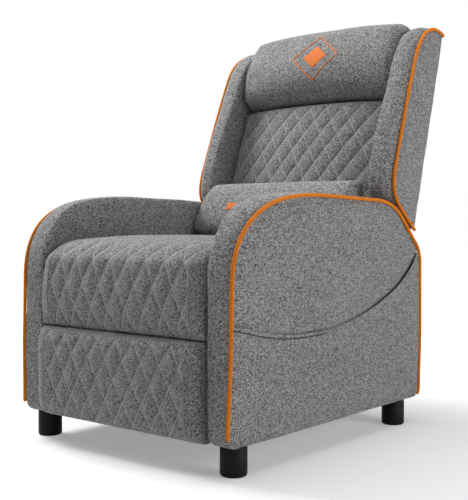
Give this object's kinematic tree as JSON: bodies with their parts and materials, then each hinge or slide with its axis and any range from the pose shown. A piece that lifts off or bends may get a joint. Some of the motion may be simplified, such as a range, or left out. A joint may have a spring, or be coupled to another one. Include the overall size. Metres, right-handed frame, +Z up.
{
  "type": "gaming recliner",
  "caption": "Push-back recliner armchair with winged back, quilted cushions, lumbar pillow, side pocket and an unfolding footrest.",
  "frame": {"origin": "on the floor under the middle of the upright chair's bounding box", "axes": "+Z up, -Y to the front of the chair, +X to the sitter's left"},
  "size_m": [0.66, 0.9344, 1.0708],
  "materials": {
    "grey_fabric": "matte heathered weave",
    "quilted_fabric": "matte heathered weave, quilted in diamonds",
    "orange_piping": "matte woven cord cover",
    "black_plastic": "satin moulded",
    "plywood": "raw",
    "black_steel": "black satin coat",
    "spring_steel": "bright wire",
    "webbing": "woven elastic strap"
  },
  "bodies": {
    "base": {"arm_right": "grey_fabric", "arm_left": "grey_fabric", "arm_piping_right": "orange_piping", "arm_piping_left": "orange_piping", "side_pocket": "grey_fabric", "side_panel_right": "plywood", "side_panel_left": "plywood", "leg_front_right": "black_plastic", "leg_front_left": "black_plastic", "leg_rear_right": "black_plastic", "leg_rear_left": "black_plastic", "front_rail": "plywood", "rear_rail": "plywood", "rear_skirt": "grey_fabric", "slide_rail_right": "black_steel", "slide_rail_left": "black_steel", "back_bracket_right": "black_steel", "back_bracket_left": "black_steel"},
    "seat": {"seat_side_rail_right": "plywood", "seat_side_rail_left": "plywood", "seat_front_rail": "plywood", "seat_rear_rail": "plywood", "seat_spring_left": "spring_steel", "seat_spring_middle": "spring_steel", "seat_spring_right": "spring_steel", "seat_cushion": "quilted_fabric", "mechanism_plate_right": "black_steel", "mechanism_plate_left": "black_steel"},
    "back": {"back_stile_right": "plywood", "back_stile_left": "plywood", "back_lower_rail": "plywood", "back_top_rail": "plywood", "back_strap_lower": "webbing", "back_strap_upper": "webbing", "back_cushion": "quilted_fabric", "headrest": "grey_fabric", "wing_right": "grey_fabric", "wing_left": "grey_fabric", "wing_piping_right": "orange_piping", "wing_piping_left": "orange_piping", "back_cover": "grey_fabric", "lumbar_pillow": "grey_fabric", "hinge_plate_right": "black_steel", "hinge_plate_left": "black_steel"},
    "push_links": {"push_link_right": "black_steel", "push_link_left": "black_steel"},
    "drive_links": {"drive_link_right": "black_steel", "drive_link_left": "black_steel"},
    "guide_links": {"guide_link_right": "black_steel", "guide_link_left": "black_steel", "guide_tube": "black_steel"},
    "carrier_links": {"carrier_link_right": "black_steel", "carrier_link_left": "black_steel"},
    "lift_links": {"lift_link_right": "black_steel", "lift_link_left": "black_steel"},
    "footrest": {"footrest_board": "plywood", "footrest_pad": "quilted_fabric", "footrest_bracket_right": "black_steel", "footrest_bracket_left": "black_steel"}
  },
  "joints": [
    {"name": "back_recline", "type": "hinge", "parent": "base", "child": "back", "pos_m": [0, 0.26407, 0.385], "axis": [-1, 0, 0], "range_deg": [0, 40]},
    {"name": "seat_slide", "type": "slide", "parent": "base", "child": "seat", "axis": [0, -1, 0], "range_m": [0, 0.048]},
    {"name": "push_link_pivot", "type": "hinge", "parent": "back", "child": "push_links", "pos_m": [0, 0.28801, 0.31922], "axis": [-1, 0, 0], "range_deg": [-40.5, 0]},
    {"name": "footrest_open", "type": "hinge", "parent": "seat", "child": "drive_links", "pos_m": [0, -0.39193, 0.266], "axis": [-1, 0, 0], "range_deg": [0, 86]},
    {"name": "carrier_pivot", "type": "hinge", "parent": "drive_links", "child": "carrier_links", "pos_m": [0, -0.29893, 0.1255], "axis": [-1, 0, 0], "range_deg": [-86.5, 0]},
    {"name": "panel_pivot", "type": "hinge", "parent": "carrier_links", "child": "footrest", "pos_m": [0, -0.35693, 0.267], "axis": [-1, 0, 0], "range_deg": [0, 86.5]},
    {"name": "lift_pivot", "type": "hinge", "parent": "drive_links", "child": "lift_links", "pos_m": [0, -0.33773, 0.0973], "axis": [-1, 0, 0], "range_deg": [-86.5, 0]},
    {"name": "guide_pivot", "type": "hinge", "parent": "seat", "child": "guide_links", "pos_m": [0, -0.33593, 0.264], "axis": [-1, 0, 0], "range_deg": [0, 86.5]}
  ],
  "couplings": [
    {"joint": "seat_slide", "follows": "back_recline", "m_per_rad": 0.0685},
    {"joint": "push_link_pivot", "follows": "back_recline", "ratio": -1},
    {"joint": "carrier_pivot", "follows": "footrest_open", "ratio": -1},
    {"joint": "panel_pivot", "follows": "footrest_open", "ratio": 1},
    {"joint": "lift_pivot", "follows": "footrest_open", "ratio": -1},
    {"joint": "guide_pivot", "follows": "footrest_open", "ratio": 1}
  ]
}
